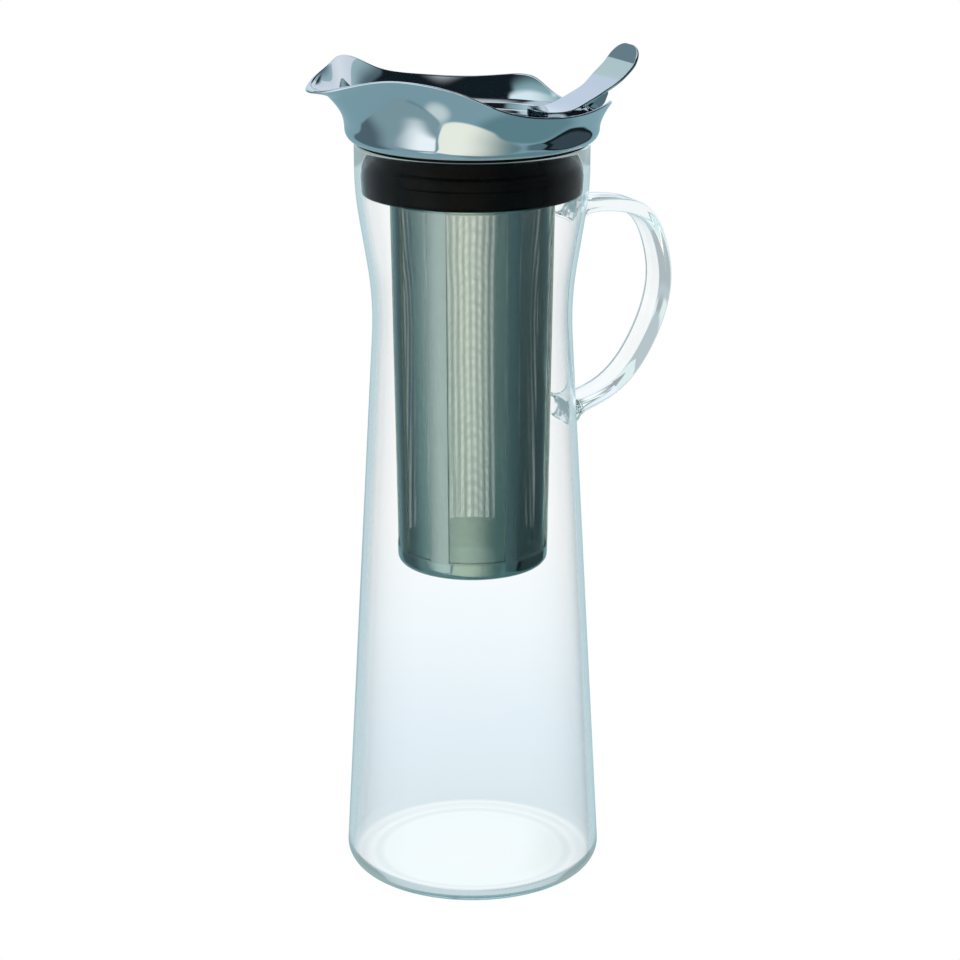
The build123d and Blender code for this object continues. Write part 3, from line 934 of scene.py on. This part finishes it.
# Hinge: the CAD's bracket and pin have the right shape already
for node in ("hinge_bracket", "hinge_pin"):
    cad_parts[node].data.materials.clear()
    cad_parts[node].data.materials.append(mirror_steel)

# Camera: a long lens, looking down at the jug from the beak's side
look_down, look_turn = 17.42585, -26.1603
camera_data = bpy.data.cameras.new("camera")
camera_data.lens = 106.4385
camera_data.sensor_width = 36.0
camera = bpy.data.objects.new("camera", camera_data)
camera.location = (-0.42844, -0.87844, 0.453454)
camera.rotation_euler = (radians(90 - look_down), 0, radians(look_turn))
scene.collection.objects.link(camera)
scene.camera = camera

# Studio: the eye sees a white sweep, which through the glass is painted a little blue and darker near the
# jug, and what the polished pieces mirror is a grey-blue room with soft white panels
sweep_white = (1.0, 1.0, 1.0, 1.0)
# How much of the sweep mixes into the room for rays that the glass's own wall has turned
white_share = 0.4


def towards(azimuth, elevation):
    """The direction at an azimuth from +X towards +Y and an elevation, in degrees."""
    a, e = radians(azimuth), radians(elevation)
    return Vector((cos(a) * cos(e), sin(a) * cos(e), sin(e)))


def tinted(hex_colour, level):
    """A linear colour at a brightness."""
    return [c * level for c in linear(hex_colour)[:3]] + [1]


def along_direction(tree, ray, direction, low, high):
    """Goes smoothly from 0 to 1 as the ray's part along a direction goes from low to high."""
    reach = add_node(tree, "ShaderNodeVectorMath", {0: ray}, {1: direction}, operation="DOT_PRODUCT")
    step = add_node(
        tree,
        "ShaderNodeMapRange",
        {"Value": reach.outputs["Value"]},
        interpolation_type="SMOOTHSTEP",
        From_Min=low,
        From_Max=high,
    )
    return step.outputs["Result"]


def lay_colour(tree, mask, below, colour):
    """Lays a colour, or another node's colour, over the one below through a mask."""
    mix = add_node(tree, "ShaderNodeMix", {0: mask, 6: below}, data_type="RGBA")
    if isinstance(colour, list):
        mix.inputs[7].default_value = colour
    else:
        tree.links.new(colour, mix.inputs[7])
    return mix.outputs[2]


def lay_card(tree, ray, below, corners, soft, colour, far=None):
    """Lays one card over the room's colour, seen from the jug as a flat shape with these corners."""
    sights = [towards(*corner) for corner in corners]
    middle = sum(sights, Vector((0, 0, 0)))
    mask = None
    for index, (here, after) in enumerate(zip(sights, sights[1:] + sights[:1])):
        side = here.cross(after).normalized()
        if side.dot(middle) < 0:
            side = -side
        edge = soft[index % len(soft)]
        inside = along_direction(tree, ray, side, -edge, edge)
        if mask is None:
            mask = inside
            continue
        both = add_node(tree, "ShaderNodeMath", {0: mask, 1: inside}, operation="MULTIPLY")
        mask = both.outputs[0]
    colour = tinted(*colour)
    if far:
        start, end, far_colour = far
        half = sin(radians((end - start) / 2))
        share = along_direction(tree, ray, towards((start + end) / 2 + 90, 0), -half, half)
        ends = {6: colour, 7: tinted(*far_colour)}
        colour = add_node(tree, "ShaderNodeMix", {0: share}, ends, data_type="RGBA").outputs[2]
    return lay_colour(tree, mask, below, colour)


def has_been(tree, path, kind):
    """1 for a ray that has been mirrored or let through at least once, and 0 for any other."""
    passed = add_node(
        tree, "ShaderNodeMath", {0: path.outputs[kind]}, {1: 0.5}, operation="GREATER_THAN"
    )
    return passed.outputs[0]


def set_stops(node, stops):
    """Gives a colour ramp its stops, each a position and a hex colour."""
    elements = node.color_ramp.elements
    for element, (position, colour) in ((elements[0], stops[0]), (elements[1], stops[-1])):
        element.position, element.color = position, linear(colour)
    for position, colour in stops[1:-1]:
        elements.new(position).color = linear(colour)


# Cards in the room, each with its corners as azimuth and elevation, the softness of the edges that start
# at those corners, its colour and level, and for some the azimuths over which they turn to another colour
cards = [
    # The table top, nearest below the jug
    (
        [(212, -50), (310, -40), (20, -38), (60, -60), (214, -80)],
        [0.1, 0.1, 0.1, 0.1, 0.12],
        ("#779ea6", 1.0),
    ),
    # Below the level of the eye: grey and pale panels beyond the beak, the brightest last
    ([(158, -28), (206, -28), (206, -34.2), (176, -34.6), (166, -39)], [0.02, 0.006], ("#76979c", 1.0)),
    (
        [(109, -4), (178, -4), (176.5, -35), (167, -38), (145, -39.5), (125, -36), (108, -18)],
        [0.1, 0.004, 0.006, 0.01, 0.02, 0.03, 0.06],
        ("#657984", 1.0),
        (142, 166, ("#9cb8bd", 1.0)),
    ),
    (
        [(174, -4), (212, -4), (206, -33.5), (174, -33.5)],
        [0.1, 0.004, 0.004, 0.004],
        ("#9cb8bd", 1.0),
    ),
    (
        [(160, -4), (213, -4), (207, -34), (194, -30.5), (180, -26), (160, -21)],
        [0.1, 0.01, 0.045, 0.045, 0.045, 0.1],
        ("#9cb8bd", 1.0),
        (166, 196, ("#ffffff", 1.45)),
    ),
    # The warm main light in front of the jug, fading towards the handle's side
    (
        [(217.5, -4), (208, -35.5), (221, -49.5), (262, -63), (287, -55), (291, -4)],
        [0.006, 0.014, 0.02, 0.04, 0.08, 0.1],
        ("#fffbe9", 1.4),
        (234, 284, ("#7c9c9e", 1.0)),
    ),
    # A grey wall on the handle's side, with a dark opening that is dimly lit inside
    ([(294, -8), (334, -8), (334, -38), (313, -36), (296, -28)], [0.07], ("#69848d", 1.0)),
    (
        [(317, -8), (24, -8), (24, -21), (8, -40), (348, -44), (328, -40), (315, -31)],
        [0.02],
        ("#1a2226", 1.0),
    ),
    (
        [(324, -8), (20, -8), (20, -18), (4, -36), (350, -40), (333, -36), (322, -28)],
        [0.04],
        ("#46555c", 1.0),
    ),
    # Above the level of the eye: a white window beyond the beak, with pale walls over it
    ([(170, -5), (236, -5), (232, 26), (205, 24), (170, 16)], [0.02], ("#f8ffff", 1.3)),
    ([(140, 20), (203, 22), (200, 45), (140, 52)], [0.05, 0.05, 0.14, 0.1], ("#a9ccd1", 1.0)),
    (
        [(140, 16), (209, 18), (206, 34), (140, 34)],
        [0.05, 0.04, 0.08, 0.1],
        ("#b9d8dc", 1.0),
        (150, 186, ("#f2fbff", 1.35)),
    ),
    # Pale panels on the far side, one of them cut slantwise, with a grey band across them
    ([(60, -2), (126, 0), (130, 33.5), (70, 34)], [0.03, 0.05, 0.01, 0.03], ("#d2e6e6", 1.1)),
    (
        [(58, -2), (71.5, -2), (83.5, 17), (104.5, 41), (60, 45)],
        [0.03, 0.004, 0.004, 0.03, 0.03],
        ("#e6f0ff", 1.08),
    ),
    ([(96, 8), (134, 8), (134, 29), (96, 19.5)], [0.03, 0.03, 0.004, 0.02], ("#819aa2", 1.0)),
    ([(66, 40), (158, 37), (158, 62), (66, 62)], [0.06], ("#f4fbff", 1.3)),
    # Behind the handle: a grey wall that turns pale, and then white past a sharp edge
    (
        [(4, -8), (56, -8), (56, 32), (4, 32)],
        [0.05, 0.03, 0.05, 0.04],
        ("#61767e", 1.0),
        (7, 25, ("#b6d1d8", 1.0)),
    ),
    ([(26.5, -8), (56, -8), (56, 32), (26.5, 32)], [0.05, 0.03, 0.05, 0.004], ("#f2f8ff", 1.05)),
    # A soft light overhead
    ([(0, 66), (90, 66), (180, 66), (270, 66)], [0.15], ("#ffffff", 1.1)),
]
# A soft pool of light on the table, between the two bright cards
pool_middle, pool_radii, pool_colour = (198, -38), (10.0, 0.5), ("#f4fffa", 1.0)


def build_world():
    """The white sweep that the eye sees, and the room of cards that the polished pieces mirror."""
    world = bpy.data.worlds.new("studio")
    scene.world = world
    world.use_nodes = True
    tree = world.node_tree
    tree.nodes.clear()
    output = add_node(tree, "ShaderNodeOutputWorld")
    coords = add_node(tree, "ShaderNodeTexCoord")
    ray = coords.outputs["Generated"]
    split = add_node(tree, "ShaderNodeSeparateXYZ", {"Vector": ray})
    # The room is dark above and grey-blue towards the floor
    height = add_node(
        tree, "ShaderNodeMapRange", {"Value": split.outputs["Z"]}, From_Min=-1.0, From_Max=1.0
    )
    room = add_node(tree, "ShaderNodeValToRGB", {"Fac": height.outputs["Result"]})
    set_stops(
        room,
        [(0.0, "#9bbfc7"), (0.46, "#94b8c2"), (0.53, "#4a5d66"), (0.6, "#18242a"), (1.0, "#18242a")],
    )
    colour = room.outputs["Color"]
    far, near = (cos(radians(radius)) for radius in pool_radii)
    pool = along_direction(tree, ray, towards(*pool_middle), far, near)
    colour = lay_colour(tree, pool, colour, tinted(*pool_colour))
    for facts in cards:
        colour = lay_card(tree, ray, colour, *facts)
    # Rays that a polished piece has turned see the room. Those that only ran about in the glass's own
    # wall, or that leave the glass upwards, see it mixed with the white sweep
    path = add_node(tree, "ShaderNodeLightPath")
    in_wall = add_node(
        tree,
        "ShaderNodeMath",
        {0: path.outputs["Transmission Depth"]},
        {1: 2.0, 2: 0.5},
        operation="COMPARE",
    )
    rising = add_node(
        tree, "ShaderNodeMapRange", {"Value": split.outputs["Z"]}, From_Min=-0.05, From_Max=0.1
    )
    upward = add_node(
        tree,
        "ShaderNodeMath",
        {0: has_been(tree, path, "Transmission Depth"), 1: rising.outputs["Result"]},
        operation="MULTIPLY",
    )
    eased = add_node(
        tree, "ShaderNodeMath", {0: in_wall.outputs[0], 1: upward.outputs[0]}, operation="MAXIMUM"
    )
    room_share = add_node(
        tree, "ShaderNodeMath", {0: eased.outputs[0]}, {1: -white_share, 2: 1.0}, operation="MULTIPLY_ADD"
    )
    share = add_node(
        tree,
        "ShaderNodeMath",
        {0: has_been(tree, path, "Glossy Depth"), 1: room_share.outputs[0]},
        operation="MULTIPLY",
    )
    mix = add_node(
        tree, "ShaderNodeMix", {0: share.outputs[0], 7: colour}, {6: sweep_white}, data_type="RGBA"
    )
    light = add_node(tree, "ShaderNodeBackground", {"Color": mix.outputs[2]})
    tree.links.new(light.outputs["Background"], output.inputs["Surface"])


def build_floor():
    """The sweep's floor: plain white to the eye; through the glass behind the jug it is painted a little
    blue and darker near the jug, a painted shade; and not there for mirrored rays, which see the room."""
    reach, drop = 3000, 0.05
    corners = [(-reach, -reach), (reach, -reach), (reach, reach), (-reach, reach)]
    floor = mesh_object("floor", ([(x, y, -drop) for x, y in corners], [[0, 1, 2, 3]]))
    material = bpy.data.materials.new("white_sweep")
    material.use_nodes = True
    tree = material.node_tree
    tree.nodes.clear()
    coords = add_node(tree, "ShaderNodeTexCoord")
    length = add_node(
        tree, "ShaderNodeVectorMath", {0: coords.outputs["Object"]}, operation="LENGTH"
    )
    away = add_node(tree, "ShaderNodeMapRange", {"Value": length.outputs["Value"]}, From_Max=0.4)
    shade = add_node(tree, "ShaderNodeValToRGB", {"Fac": away.outputs["Result"]})
    # The floor is painted bluer and darker near the jug, a painted shade seen only through the glass; the
    # narrow stops are painted faint dark rings under the jug's foot
    set_stops(
        shade,
        [
            (0.0, "#fbffff"),
            (0.082, "#f8ffff"),
            (0.088, "#e6f1f5"),
            (0.094, "#fbffff"),
            (0.104, "#e9f3f7"),
            (0.108, "#fbffff"),
            (0.117, "#dfebf0"),
            (0.3, "#e6f1f8"),
            (0.62, "#f4fbff"),
            (1.0, "#ffffff"),
        ],
    )
    path = add_node(tree, "ShaderNodeLightPath")
    colour = add_node(
        tree,
        "ShaderNodeMix",
        {0: has_been(tree, path, "Transmission Depth"), 7: shade.outputs["Color"]},
        {6: sweep_white},
        data_type="RGBA",
    )
    glow = add_node(tree, "ShaderNodeEmission", {"Color": colour.outputs[2]}, Strength=1.0)
    clear = add_node(tree, "ShaderNodeBsdfTransparent")
    either = add_node(
        tree,
        "ShaderNodeMixShader",
        {0: has_been(tree, path, "Glossy Depth"), 1: glow.outputs[0], 2: clear.outputs[0]},
    )
    output = add_node(tree, "ShaderNodeOutputMaterial")
    tree.links.new(either.outputs[0], output.inputs["Surface"])
    floor.data.materials.append(material)
    floor.visible_glossy = False
    floor.visible_diffuse = False
    floor.visible_shadow = False


build_world()
build_floor()
scene.view_settings.view_transform = "Standard"
scene.cycles.max_bounces = 24
scene.cycles.transmission_bounces = 20
scene.cycles.glossy_bounces = 8
scene.cycles.transparent_max_bounces = 24
